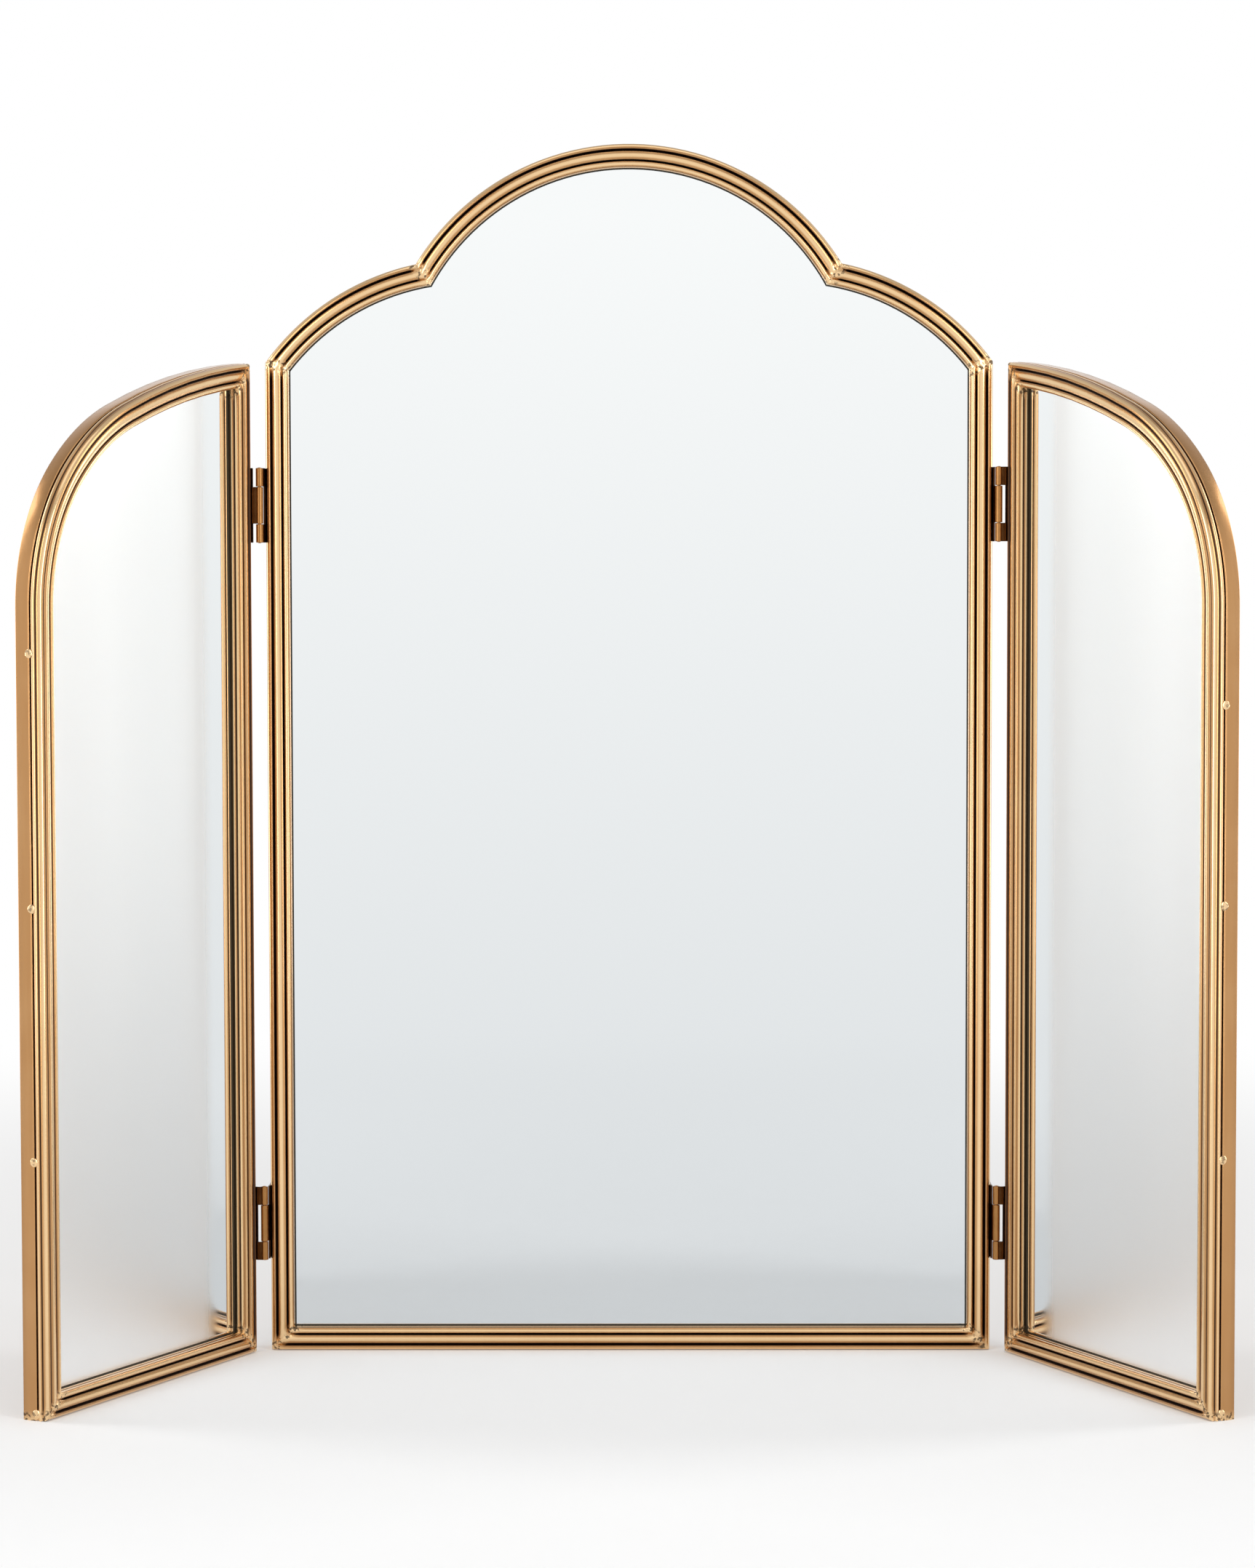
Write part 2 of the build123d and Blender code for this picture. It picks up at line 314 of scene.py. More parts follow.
class StudioSettings(PropertyGroup):
    """The camera and the soft studio light."""

    camera_place: FloatVectorProperty(
        name="Camera",
        description="Place of the camera",
        default=(0.0166, -2.4445, 0.4996),
        subtype="TRANSLATION",
        unit="LENGTH",
        size=3,
    )
    camera_tilt: FloatVectorProperty(
        name="Camera tilt",
        description="Downward tilt, roll and turn of the camera",
        default=(radians(3.21), radians(-0.10), radians(0.42)),
        subtype="EULER",
        unit="ROTATION",
        size=3,
    )
    lens: FloatProperty(
        name="Lens",
        description="Focal length over a 36 mm tall sensor",
        default=88.1,
        unit="CAMERA",
    )
    side_power: FloatProperty(
        name="Side boxes",
        description="Power of each of the two side lamps",
        default=9.0,
        unit="POWER",
    )
    front_power: FloatProperty(
        name="Front boxes",
        description="Power of each lamp to the left and right in front",
        default=7.0,
        unit="POWER",
    )
    top_power: FloatProperty(
        name="Top box",
        description="Power of the overhead lamp",
        default=4.0,
        unit="POWER",
    )


class Value:
    """An output in a node tree. Arithmetic on values adds Math nodes."""

    def __init__(self, graph, socket):
        self.graph = graph
        self.socket = socket

    def math(self, operation, *values):
        sockets = dict(enumerate(values))
        return self.graph.node("ShaderNodeMath", {"operation": operation}, sockets)

    def __add__(self, other):
        return self.math("ADD", self, other)

    def __sub__(self, other):
        return self.math("SUBTRACT", self, other)

    def __rsub__(self, other):
        return self.math("SUBTRACT", other, self)

    def __mul__(self, other):
        return self.math("MULTIPLY", self, other)

    def __truediv__(self, other):
        return self.math("DIVIDE", self, other)

    def clamped(self):
        return self.math("MINIMUM", self.math("MAXIMUM", self, 0.0), 1.0)

    __radd__ = __add__
    __rmul__ = __mul__


class Graph:
    """A node tree that is filled from values, for one material or the world."""

    def __init__(self, tree):
        self.tree = tree
        self.tree.nodes.clear()

    def node(self, kind, settings=None, sockets=None, output=0):
        """Add a node, set its settings and then its sockets, and return one of its outputs."""
        made = self.tree.nodes.new(kind)
        for name, value in (settings or {}).items():
            setattr(made, name, value)
        for name, value in (sockets or {}).items():
            if isinstance(value, Value):
                self.tree.links.new(value.socket, made.inputs[name])
            else:
                made.inputs[name].default_value = value
        if made.outputs:
            return Value(self, made.outputs[output])
        return None

    def place(self):
        return self.node("ShaderNodeTexCoord", output="Object")

    def attribute(self, name):
        return self.node("ShaderNodeAttribute", {"attribute_name": name}, output="Fac")

    def noise(self, place, scale, detail=2.0, roughness=0.5):
        sockets = {"Vector": place, "Scale": scale, "Detail": detail, "Roughness": roughness}
        return self.node("ShaderNodeTexNoise", sockets=sockets, output="Fac")

    def stretched(self, place, scale):
        settings = {"operation": "MULTIPLY"}
        return self.node("ShaderNodeVectorMath", settings, {0: place, 1: scale})

    def mix(self, factor, first, second):
        settings = {"data_type": "RGBA"}
        return self.node("ShaderNodeMix", settings, {0: factor, 6: first, 7: second}, output=2)

    def band(self, value, low, high):
        sockets = {"Value": value, "From Min": low, "From Max": high}
        settings = {"interpolation_type": "SMOOTHSTEP"}
        return self.node("ShaderNodeMapRange", settings, sockets)

    def bump(self, height, distance, strength):
        sockets = {"Height": height, "Distance": distance, "Strength": strength}
        return self.node("ShaderNodeBump", sockets=sockets)

    def surface(self, sockets):
        shader = self.node("ShaderNodeBsdfPrincipled", sockets=sockets)
        self.output(shader)

    def output(self, shader, kind="ShaderNodeOutputMaterial"):
        self.node(kind, sockets={"Surface": shader})


def new_material(name):
    """Return a material and the graph of its nodes."""
    material = bpy.data.materials.new(name)
    material.use_nodes = True
    return material, Graph(material.node_tree)


def rgba(colour, level=1.0):
    """Return a property's colour at a level as a node colour."""
    return (colour[0] * level, colour[1] * level, colour[2] * level, 1.0)


def finishes():
    return bpy.context.scene.mirror_finishes


def gold_lacquer():
    """Return the lacquered metal of the frame, with painted shade in the grooves and a painted highlight
    on the crests, and paler on the welds.
    """
    made = bpy.data.materials.get("gold_lacquer")
    if made:
        return made
    colours = finishes()
    material, graph = new_material("gold_lacquer")
    place = graph.place()
    hollow = graph.attribute("hollow")
    weld = graph.attribute("weld")
    cloud = graph.noise(place, 24.0, 3.0)
    streak = graph.noise(graph.stretched(place, (420.0, 420.0, 26.0)), 1.0, 3.0)
    peel = graph.noise(place, 1400.0, 1.0)
    pits = graph.band(graph.noise(place, 430.0, 2.0), 0.53, 0.60) * graph.band(weld, 0.1, 0.6)
    # Painted highlight: the crests, where painted shade is low, are painted pale, with random mottle and
    # streaks over it.
    crest_highlight_and_mottle = (0.9 + 0.2 * cloud - graph.band(hollow, 0.0, 0.24)).clamped()
    crest_highlight_and_mottle = crest_highlight_and_mottle + cloud * 0.08 + streak * 0.10
    tone = graph.mix(crest_highlight_and_mottle.clamped(), rgba(colours.gold), rgba(colours.highlight_and_weld_gold))
    # Painted shade: the grooves are painted dark.
    tone = graph.mix(graph.band(hollow, 0.36, 0.90), tone, rgba(colours.gold_for_painted_shade))
    tone = graph.mix((weld * 0.35).clamped(), tone, rgba(colours.highlight_and_weld_gold))
    # The weld pits are painted darker still, as shade.
    tone = graph.mix((pits * 0.8).clamped(), tone, rgba(colours.gold_for_painted_shade, 0.35))
    rough = 0.10 + 0.06 * cloud + 0.05 * streak + 0.22 * hollow + 0.06 * weld + 0.3 * pits
    height = peel * 0.4 - pits * 1.5
    graph.surface(
        {
            "Base Color": tone,
            "Metallic": 1.0,
            "Roughness": rough.clamped(),
            "Coat Weight": 0.35,
            "Coat Roughness": 0.05,
            "Normal": graph.bump(height, 0.00006, 0.35),
        }
    )
    return material


def hinge_lacquer():
    """Return the plated metal of the hinges, with fine turning, rubbed wear, and painted shade on the
    leaves and the knuckle ends.
    """
    made = bpy.data.materials.get("hinge_lacquer")
    if made:
        return made
    colours = finishes()
    material, graph = new_material("hinge_lacquer")
    place = graph.place()
    turning = graph.noise(graph.stretched(place, (60.0, 60.0, 2600.0)), 1.0, 2.0)
    wear = graph.noise(place, 160.0, 3.0)
    hollow = graph.attribute("hollow")
    # Painted shade: the leaves and the knuckle ends are painted dark by their shade values.
    tone = graph.mix((wear * 0.25 + hollow * 0.95).clamped(), rgba(colours.brass), rgba(colours.gold_for_painted_shade))
    graph.surface(
        {
            "Base Color": tone,
            "Metallic": 1.0,
            "Roughness": 0.08 + 0.06 * wear + 0.05 * turning,
            "Normal": graph.bump(turning, 0.00004, 0.3),
        }
    )
    return material


# Height at which the painted reflection on the glass is lightest, the roughness of clear glass, and how
# far past the clear reach the haze is full
REFLECTION_TOP_HEIGHT = 0.72
CLEAR_ROUGHNESS = 0.03
HAZE_SPREAD = 1.7


def mirror_silver(name, painted_brightening, haze):
    """Return the silvered face of the glass, with a painted reflection that is darker towards the bottom,
    lifted towards white, with haze off the post.
    """
    colours = finishes()
    material, graph = new_material(name)
    place = graph.place()
    height = graph.node("ShaderNodeSeparateXYZ", sockets={"Vector": place}, output="Z")
    rise = (height / REFLECTION_TOP_HEIGHT).clamped()
    sizes = bpy.context.scene.mirror_glass
    width = bpy.context.scene.mirror_frame.width / 2 + HINGE_SIDE
    hinge = (width, HINGE_FORWARD - FRONT, 0.0)
    mirrored = graph.node("ShaderNodeVectorMath", {"operation": "ABSOLUTE"}, {0: place})
    away = graph.node("ShaderNodeVectorMath", {"operation": "SUBTRACT"}, {0: mirrored, 1: hinge})
    level = graph.stretched(away, (1.0, 1.0, 0.0))
    reach = graph.node("ShaderNodeVectorMath", {"operation": "LENGTH"}, {0: level}, output="Value")
    soft = graph.band(reach, sizes.clear_reach, sizes.clear_reach * HAZE_SPREAD)
    # The wing glass is painted lighter by this amount, twice as much at the bottom as at the top.
    low = rgba([part + (1 - part) * min(1.0, 2 * painted_brightening) for part in colours.painted_reflection_bottom])
    high = rgba([part + (1 - part) * painted_brightening for part in colours.painted_reflection_top])
    graph.surface(
        {
            # Painted reflection: the silver colour goes from the bottom tone to the top tone with height.
            "Base Color": graph.mix(rise, low, high),
            "Metallic": 1.0,
            "Roughness": CLEAR_ROUGHNESS + haze * soft,
        }
    )
    return material


def plain_paint(name, colour, roughness):
    """Return a slightly uneven paint."""
    material, graph = new_material(name)
    place = graph.place()
    cloud = graph.noise(place, 45.0, 3.0)
    graph.surface(
        {
            "Base Color": graph.mix(cloud, rgba(colour, 0.85), rgba(colour, 1.15)),
            "Roughness": roughness + 0.1 * cloud,
        }
    )
    return material


def fibre_board():
    """Return the pressed brown board with its matted fibres."""
    colours = finishes()
    material, graph = new_material("fibre_board")
    place = graph.place()
    mottle = graph.noise(place, 55.0, 4.0, 0.65)
    fibre = graph.noise(graph.stretched(place, (900.0, 900.0, 300.0)), 1.0, 4.0, 0.7)
    speck = graph.band(graph.noise(place, 850.0, 1.0), 0.62, 0.72)
    tone = graph.mix(mottle, rgba(colours.board, 0.7), rgba(colours.board, 1.35))
    tone = graph.mix(fibre * 0.4, tone, rgba(colours.board, 1.9))
    tone = graph.mix(speck * 0.5, tone, rgba(colours.board, 0.35))
    graph.surface(
        {
            "Base Color": tone,
            "Roughness": 0.62 + 0.25 * fibre,
            "Normal": graph.bump(fibre + mottle * 0.5, 0.0003, 0.4),
        }
    )
    return material


class Line:
    """A straight stretch of a panel's outline, followed clockwise seen from the front."""

    bend = 0.0

    def __init__(self, start, end):
        self.start = start
        self.span = (end - start).length
        self.along = (end - start) / self.span
        self.inward = Vector((self.along.y, -self.along.x))

    def point(self, way, inset):
        return self.start + self.along * way + self.inward * inset

    def reach(self, inset, corner, normal):
        gap = corner - self.start - self.inward * inset
        return gap.dot(normal) / self.along.dot(normal)


class Bend:
    """A clockwise bend of a panel's outline. The way along it is the angle turned."""

    def __init__(self, centre, radius, heading, turn):
        self.centre = centre
        self.radius = radius
        self.heading = heading
        self.span = turn
        self.bend = turn

    def point(self, way, inset):
        return self.centre + compass(self.heading + pi / 2 - way) * (self.radius - inset)

    def reach(self, inset, corner, normal):
        gap = corner - self.centre
        reach = acos(gap.dot(normal) / (self.radius - inset))
        across = atan2(normal.y, normal.x)
        near = atan2(gap.y, gap.x)
        angles = [across + reach, across - reach]
        best = min(angles, key=lambda angle: abs(wrapped(angle - near)))
        return self.heading + pi / 2 - near - wrapped(best - near)


def compass(heading):
    """Return the unit vector in a panel's plane at a heading from +X to +Z."""
    return Vector((cos(heading), sin(heading)))


def wrapped(angle):
    """Return an angle brought to within half a turn of zero."""
    return (angle + pi) % (2 * pi) - pi


def mitre(corner, before, after):
    """Return a corner and the normal of the plane that halves two headings there."""
    return corner, compass((before + after) / 2)


class Length:
    """One length of the frame: its stretches and the mitre at each end."""

    def __init__(self, stretches, start, end):
        self.stretches = stretches
        self.start = start
        self.end = end

    def ways(self):
        """Return for each stretch the shares of it at which the frame gets a ring."""
        found = []
        for stretch in self.stretches:
            size = stretch.span * getattr(stretch, "radius", 1.0)
            steps = max(4, round(stretch.bend / BEND_STEP), round(size / RING_SPACING))
            shares = [step / steps for step in range(steps + 1)]
            if stretch is self.stretches[0]:
                shares += [gap / size for gap in CLOSE_RINGS]
            if stretch is self.stretches[-1]:
                shares += [1 - gap / size for gap in CLOSE_RINGS]
            found.append(sorted(set(shares)))
        return found

    def track(self, inset):
        """Return the points that a section point at an inset follows, in the panel's plane."""
        points = []
        for stretch, shares in zip(self.stretches, self.ways()):
            first = 0.0
            last = stretch.span
            if stretch is self.stretches[0]:
                first = stretch.reach(inset, *self.start)
            else:
                shares = shares[1:]
            if stretch is self.stretches[-1]:
                last = stretch.reach(inset, *self.end)
            points += [stretch.point(first + (last - first) * share, inset) for share in shares]
        return points


def centre_lengths():
    """Return the lengths of the centre panel's left half and crown, clockwise."""
    sizes = bpy.context.scene.mirror_frame
    radius = sizes.bend_radius
    half = sizes.width / 2
    chord = sizes.crown_half_chord
    crown_centre = Vector((0.0, sizes.height - radius))
    bottom = Vector((-half, 0.0))
    shoulder = Vector((-half, sizes.shoulder_height))
    notch = Vector((-chord, crown_centre.y + sqrt(radius**2 - chord**2)))
    slope = notch - shoulder
    half_turn = asin(slope.length / 2 / radius)
    start = atan2(slope.y, slope.x) + half_turn
    end = start - 2 * half_turn
    crown = asin(chord / radius)
    centre = shoulder - compass(start + pi / 2) * radius
    at_bottom = mitre(bottom, pi, pi / 2)
    at_right = mitre(Vector((half, 0.0)), 1.5 * pi, pi)
    at_shoulder = mitre(shoulder, pi / 2, start)
    at_notch = mitre(notch, end, crown)
    at_right_notch = mitre(Vector((chord, notch.y)), -crown, -end)
    return {
        "stile": Length([Line(bottom, shoulder)], at_bottom, at_shoulder),
        "shoulder": Length([Bend(centre, radius, start, 2 * half_turn)], at_shoulder, at_notch),
        "crown": Length([Bend(crown_centre, radius, crown, 2 * crown)], at_notch, at_right_notch),
        "rail": Length([Line(Vector((half, 0.0)), bottom)], at_right, at_bottom),
    }


HINGE_SIDE = 3.3 * MM
HINGE_FORWARD = 2.5 * MM
FRONT = -13.5 * MM
WING_BENDS = ((0.120, radians(45.0)), (0.160, radians(24.5)))


def wing_lengths():
    """Return the lengths of the left wing as it lies flat beside the centre panel."""
    sizes = bpy.context.scene.mirror_frame
    near = -sizes.width / 2 - 2 * HINGE_SIDE
    far = near - sizes.wing_width
    outer_bottom = Vector((far, 0.0))
    near_bottom = Vector((near, 0.0))
    point = Vector((far, sizes.wing_stile))
    stretches = [Line(outer_bottom, point)]
    heading = pi / 2
    for radius, turn in WING_BENDS:
        centre = point - compass(heading + pi / 2) * radius
        stretches.append(Bend(centre, radius, heading, turn))
        heading -= turn
        point = stretches[-1].point(turn, 0.0)
    radius = sizes.wing_top_radius
    centre = point - compass(heading + pi / 2) * radius
    top = asin((centre.x - near) / radius)
    stretches.append(Bend(centre, radius, heading, heading - top))
    near_top = stretches[-1].point(heading - top, 0.0)
    at_outer = mitre(outer_bottom, pi, pi / 2)
    at_top = mitre(near_top, top, -pi / 2)
    at_near = mitre(near_bottom, 1.5 * pi, pi)
    return {
        "outer_rail": Length(stretches, at_outer, at_top),
        "post": Length([Line(near_top, near_bottom)], at_top, at_near),
        "rail": Length([Line(near_bottom, outer_bottom)], at_near, at_outer),
    }


def arc(start, end, rise):
    """Return points of an arc that bulges to the left of the way from start to end."""
    run_x = end[0] - start[0]
    run_y = end[1] - start[1]
    chord = hypot(run_x, run_y)
    radius = (chord**2 / 4 + rise**2) / (2 * rise)
    side_x = -run_y / chord
    side_y = run_x / chord
    centre_x = (start[0] + end[0]) / 2 - side_x * (radius - rise)
    centre_y = (start[1] + end[1]) / 2 - side_y * (radius - rise)
    first = atan2(start[1] - centre_y, start[0] - centre_x)
    sweep = wrapped(atan2(end[1] - centre_y, end[0] - centre_x) - first)
    angles = [first + sweep * step / RIB_STEPS for step in range(RIB_STEPS + 1)]
    return [(centre_x + radius * cos(angle), centre_y + radius * sin(angle)) for angle in angles]


def rib_rows(start, end, rise):
    """Return a rib's section points with the painted shade of each, from a painted highlight at its crest
    to painted shade in its grooves.
    """
    rows = []
    for step, (inset, depth) in enumerate(arc(start, end, rise)):
        edge = abs(2 * step / RIB_STEPS - 1)
        # Painted shade: none on the crest, which takes the painted highlight, rising towards the grooves.
        rows.append((inset, depth, inset, depth, 0.42 * edge**1.4 + 0.33 * edge**8))
    return rows


def section_rows():
    """Return the section: inset, depth, the same where solder fills it, and painted shade."""
    # The last value of a row is its painted shade: low gives the painted highlight on crests, high the
    # painted shade in grooves.
    rows = rib_rows(*WALL_RIBS[0])
    rows.append((14.2, 4.7, 14.8, 4.7, 0.9))
    rows += rib_rows(*WALL_RIBS[1])
    rows += rib_rows(*INNER_RIB)[1:]
    rows.append((10.65, 2.15, 10.65, 0.9, 1.0))
    rows += rib_rows(*BROAD_RIB)
    rows.append((4.2, 1.75, 3.9, 0.5, 1.0))
    rows += rib_rows(*CORNER_RIB)
    rows.append((1.15, 3.9, 0.35, 3.9, 1.0))
    rows += rib_rows(*SIDE_RIB)
    rows.append((1.7, 7.45, 0.4, 7.5, 1.0))
    rows.append((1.7, 8.15, 0.3, 8.1, 1.0))
    # The rolled edge of the band gets little painted shade, so it shows a painted highlight.
    rows += [(inset, depth, inset, depth, 0.25) for inset, depth in arc((0.7, 8.2), (0.0, 9.0), 0.2)]
    # The flat side and back bands get some painted shade, which keeps them darker than the crests.
    for inset, depth in ((0.0, 17.3), (0.2, 17.8), (0.7, 18.0), (8.3, 18.0), (8.8, 17.8), (9.0, 17.3)):
        rows.append((inset, depth, inset, depth, 0.50))
    rows.append((9.0, 8.1, 9.0, 8.1, 0.3))
    return rows


class Shape:
    """A closed mesh in the making, with a painted shade and a weld value at each point."""

    def __init__(self):
        self.points = []
        self.faces = []
        self.paints = []
        self.hollow = []
        self.weld = []

    def add_ring(self, ring, hollow=0.0, weld=0.0):
        start = len(self.points)
        self.points += [Vector(point) for point in ring]
        self.hollow += [hollow] * len(ring)
        self.weld += [weld] * len(ring)
        return list(range(start, len(self.points)))

    def add_face(self, corners, paint=0):
        self.faces.append(tuple(corners))
        self.paints.append(paint)

    def bridge(self, first, second, paint=0):
        """Join two rings of the same size with quads that face outward for a clockwise ring."""
        for index in range(len(first)):
            after = (index + 1) % len(first)
            self.add_face((first[index], second[index], second[after], first[after]), paint)

    def joined(self, other):
        """Return this shape with another added to it."""
        both = Shape()
        for part in (self, other):
            start = len(both.points)
            both.points += part.points
            both.faces += [tuple(start + corner for corner in face) for face in part.faces]
            both.paints += part.paints
            both.hollow += part.hollow
            both.weld += part.weld
        return both

    def moved(self, matrix):
        """Return a copy moved by a matrix, turned inside out again where it mirrors."""
        copy = Shape().joined(self)
        copy.points = [matrix @ point for point in self.points]
        if matrix.determinant() < 0:
            copy.faces = [tuple(reversed(face)) for face in self.faces]
        return copy

    def object(self, name, materials, body, slot, replaced):
        """Make the object, with its materials, and set what it rides on and replaces."""
        mesh = bpy.data.meshes.new(name)
        mesh.from_pydata(self.points, [], self.faces)
        mesh.polygons.foreach_set("material_index", self.paints)
        for kind, values in (("hollow", self.hollow), ("weld", self.weld)):
            layer = mesh.attributes.new(kind, "FLOAT", "POINT")
            layer.data.foreach_set("value", values)
        mesh.shade_smooth()
        mesh.set_sharp_from_angle(angle=SHARP_ANGLE)
        for material in materials:
            mesh.materials.append(material)
        made = bpy.data.objects.new(name, mesh)
        bpy.context.scene.collection.objects.link(made)
        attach(made, body)
        for node in replaced:
            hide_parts(node)
        return made


MIRRORED = Matrix.Diagonal((-1.0, 1.0, 1.0, 1.0))


def turned_forward():
    """Return the matrix that turns the flat left wing forward to its rest angle."""
    sizes = bpy.context.scene.mirror_frame
    hinge = Vector((-sizes.width / 2 - HINGE_SIDE, FRONT - HINGE_FORWARD, 0.0))
    turn = Matrix.Rotation(sizes.rest_angle, 4, "Z")
    return Matrix.Translation(hinge) @ turn @ Matrix.Translation(-hinge)


def solder(point, gap):
    """Return how far solder fills the section at a gap from the nearest mitre."""
    reach = bpy.context.scene.mirror_frame.weld_reach
    ragged = 1.0 + 0.35 * noise.noise(point * 420.0)
    return max(0.0, 1.0 - gap / (reach * ragged)) ** 0.6


# How far solder fills the section at a mitre, how much of the painted groove shade it takes away, and its
# lumps
SOLDER_FILL = 0.85
SOLDER_HIDES = 0.8
LUMP_SCALE = 360.0
LUMP_RISE = 0.9


def swept(length):
    """Return one length of the frame, swept from the section between its mitres."""
    shape = Shape()
    rows = section_rows()
    tracks = {}
    for inset in {row[0] for row in rows} | {row[2] for row in rows}:
        points = length.track(inset * MM)
        gaps = [0.0]
        for before, after in zip(points, points[1:]):
            gaps.append(gaps[-1] + (after - before).length)
        tracks[inset] = [(point, min(gap, gaps[-1] - gap)) for point, gap in zip(points, gaps)]
    rings = []
    for step in range(len(tracks[0.0])):
        ring = []
        for inset, depth, filled_inset, filled_depth, hollow in rows:
            point, gap = tracks[inset][step]
            filled = tracks[filled_inset][step][0]
            sunk = Vector((point.x, FRONT + depth * MM, point.y))
            full = Vector((filled.x, FRONT + filled_depth * MM, filled.y))
            weld = solder(sunk, gap)
            ring.append(len(shape.points))
            lump = abs(noise.noise(sunk * LUMP_SCALE)) * weld * LUMP_RISE * MM
            shape.points.append(sunk.lerp(full, SOLDER_FILL * weld) + Vector((0.0, lump, 0.0)))
            # Solder takes away part of the painted shade where it fills the grooves.
            shape.hollow.append(hollow * (1.0 - SOLDER_HIDES * weld))
            shape.weld.append(weld)
        rings.append(ring)
    shape.add_face(rings[0])
    for first, second in zip(rings, rings[1:]):
        shape.bridge(first, second)
    shape.add_face(reversed(rings[-1]))
    return shape


def inner_loop(lengths, inset):
    """Return a loop inside a panel's outline at an inset, clockwise from the bottom left."""
    if "crown" in lengths:
        left = []
        for name in ("stile", "shoulder"):
            left += lengths[name].track(inset)[:-1]
        crown = lengths["crown"].track(inset)
        left += crown[: len(crown) // 2]
        right = [Vector((-point.x, point.y)) for point in reversed(left)]
        middle = [crown[len(crown) // 2]] if len(crown) % 2 else []
        return left + middle + right
    return lengths["outer_rail"].track(inset) + [lengths["rail"].track(inset)[0]]


def glass(lengths):
    """Return a panel's glass: a silvered face, a dark line of painted shade round it and a painted back.
    """
    sizes = bpy.context.scene.mirror_glass
    face = bpy.context.scene.mirror_frame.face
    outer = inner_loop(lengths, sizes.inset)
    inner = inner_loop(lengths, face + sizes.edge_shade_width)
    if "crown" not in lengths:
        # Beside a wing's hinge post the line of painted shade is wider.
        limit = lengths["post"].stretches[0].start.x - face - sizes.post_shade_width
        inner = [Vector((min(point.x, limit), point.y)) for point in inner]
    front = FRONT + sizes.seat
    back = front + sizes.thickness
    shape = Shape()
    silver = shape.add_ring([(point.x, front, point.y) for point in inner])
    edge = shape.add_ring([(point.x, front, point.y) for point in outer])
    rear = shape.add_ring([(point.x, back, point.y) for point in outer])
    shape.add_face(reversed(silver))
    # The dark line of painted shade round the silver.
    shape.bridge(edge, silver, 1)
    shape.bridge(rear, edge, 2)
    shape.add_face(rear, 2)
    return shape


def inset_outline(outline, distance):
    """Return a clockwise outline drawn in by a distance."""
    drawn = []
    for index, point in enumerate(outline):
        before = (point - outline[index - 1]).normalized()
        after = (outline[(index + 1) % len(outline)] - point).normalized()
        side = Vector((before.y + after.y, -before.x - after.x)) / 2
        drawn.append(point + side * (distance / max(side.length_squared, 0.3)))
    return drawn


def slab(outline, low, high, edge, hollow):
    """Return a clockwise outline in X and Y as an upright slab with eased edges."""
    shape = Shape()
    eased = inset_outline(outline, edge)
    levels = ((eased, low), (outline, low + edge), (outline, high - edge), (eased, high))
    rings = []
    for loop, level in levels:
        rings.append(shape.add_ring([(point.x, point.y, level) for point in loop], hollow))
    shape.add_face(rings[0])
    for first, second in zip(rings, rings[1:]):
        shape.bridge(first, second)
    shape.add_face(reversed(rings[-1]))
    return shape


def lathed(profile, closed):
    """Return a profile of radius, level and painted shade turned about the Z axis."""
    shape = Shape()
    rings = []
    for radius, level, hollow in profile:
        angles = [-2 * pi * step / LATHE_STEPS for step in range(LATHE_STEPS)]
        ring = [(radius * cos(angle), radius * sin(angle), level) for angle in angles]
        rings.append(shape.add_ring(ring, hollow))
    pairs = list(zip(rings, rings[1:]))
    if closed:
        pairs.append((rings[-1], rings[0]))
    else:
        shape.add_face(rings[0])
        shape.add_face(reversed(rings[-1]))
    for first, second in pairs:
        shape.bridge(first, second)
    return shape


HINGE_LEVELS = {"upper": 0.540, "lower": 0.083}
LEAF_START = 3.3 * MM
LEAF_END = 20.5 * MM
JOGGLE = (0.9 * MM, 2.7 * MM)
PIN_CLEARANCE = 0.05 * MM


def knuckle(low, high):
    """Return one rolled knuckle about the Z axis and the strip that joins it to its leaf."""
    sizes = bpy.context.scene.mirror_hinges
    radius = sizes.knuckle_radius
    bore = sizes.pin_radius + PIN_CLEARANCE
    ease = 0.25 * MM
    # The last value of each step is its painted shade: dark at the knuckle ends, none on the barrel.
    profile = (
        (bore, low, 0.6),
        (radius - ease, low, 0.2),
        (radius, low + ease, 0.0),
        (radius, high - ease, 0.0),
        (radius - ease, high, 0.2),
        (bore, high, 0.6),
    )
    near, far = JOGGLE
    curl = radius - sizes.leaf
    wall = HINGE_SIDE - sizes.leaf
    strip = (
        (curl, 0.0),
        (curl, near),
        (wall, far),
        (wall, LEAF_START + 0.3 * MM),
        (HINGE_SIDE, LEAF_START + 0.3 * MM),
        (HINGE_SIDE, far),
        (radius, near),
        (radius, 0.0),
    )
    outline = [Vector(point) for point in strip]
    # The strip to the leaf is painted dark as shade.
    return lathed(profile, True).joined(slab(outline, low, high, 0.12 * MM, 0.8))


def hinge_leaf(level, holds_middle):
    """Return the centre panel's leaf of a left hinge, with one middle or two end knuckles."""
    sizes = bpy.context.scene.mirror_hinges
    low = level - sizes.height / 2
    high = level + sizes.height / 2
    gap = 0.15 * MM
    if holds_middle:
        spans = [(low + sizes.end_knuckle + gap, high - sizes.end_knuckle - gap)]
    else:
        spans = [(low, low + sizes.end_knuckle - gap), (high - sizes.end_knuckle + gap, high)]
    wall = HINGE_SIDE - sizes.leaf
    corners = ((wall, LEAF_START), (wall, LEAF_END), (HINGE_SIDE, LEAF_END), (HINGE_SIDE, LEAF_START))
    # The leaf is painted dark as shade.
    shape = slab([Vector(corner) for corner in corners], low, high, 0.2 * MM, 0.9)
    for span in spans:
        shape = shape.joined(knuckle(*span))
    return shape


